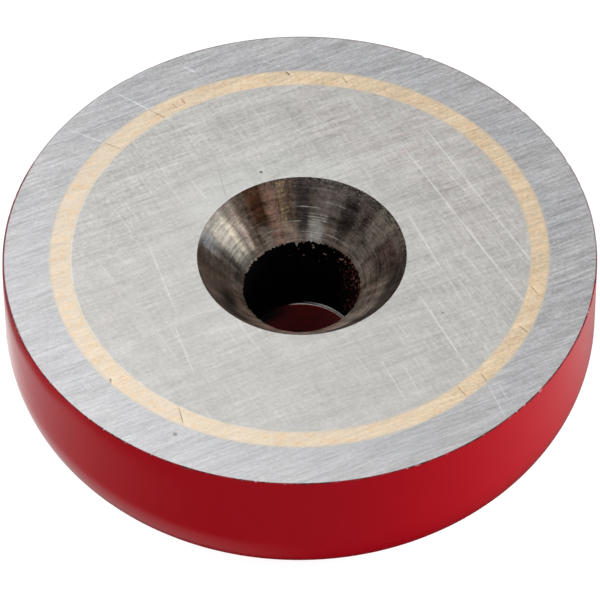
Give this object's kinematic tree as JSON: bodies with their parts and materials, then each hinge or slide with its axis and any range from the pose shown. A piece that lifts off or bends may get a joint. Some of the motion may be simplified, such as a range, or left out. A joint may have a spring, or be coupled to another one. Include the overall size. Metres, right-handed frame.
{
  "type": "shallow pot magnet",
  "caption": "Round flat holding magnet: a red lacquered steel pot round a ground magnet disc, with a spacer ring and a countersunk screw hole.",
  "frame": {"origin": "centre of the back face, the bottom of the box when the magnet lies on its back", "axes": "+Z along the axis of the disc, from the back towards the holding face"},
  "size_m": [0.0286, 0.0286, 0.0085],
  "materials": {
    "pot_steel": "surface ground mild steel",
    "alnico": "surface ground cast AlNiCo, with a rough as-cast bore",
    "ring_brass": "ground flush, pale",
    "adhesive": "cured adhesive film",
    "lacquer": "glossy red lacquer"
  },
  "bodies": {
    "root": {"steel_pot": "pot_steel", "alnico_core": "alnico", "brass_ring": "ring_brass", "bond_film": "adhesive", "red_lacquer": "lacquer"}
  },
  "joints": []
}
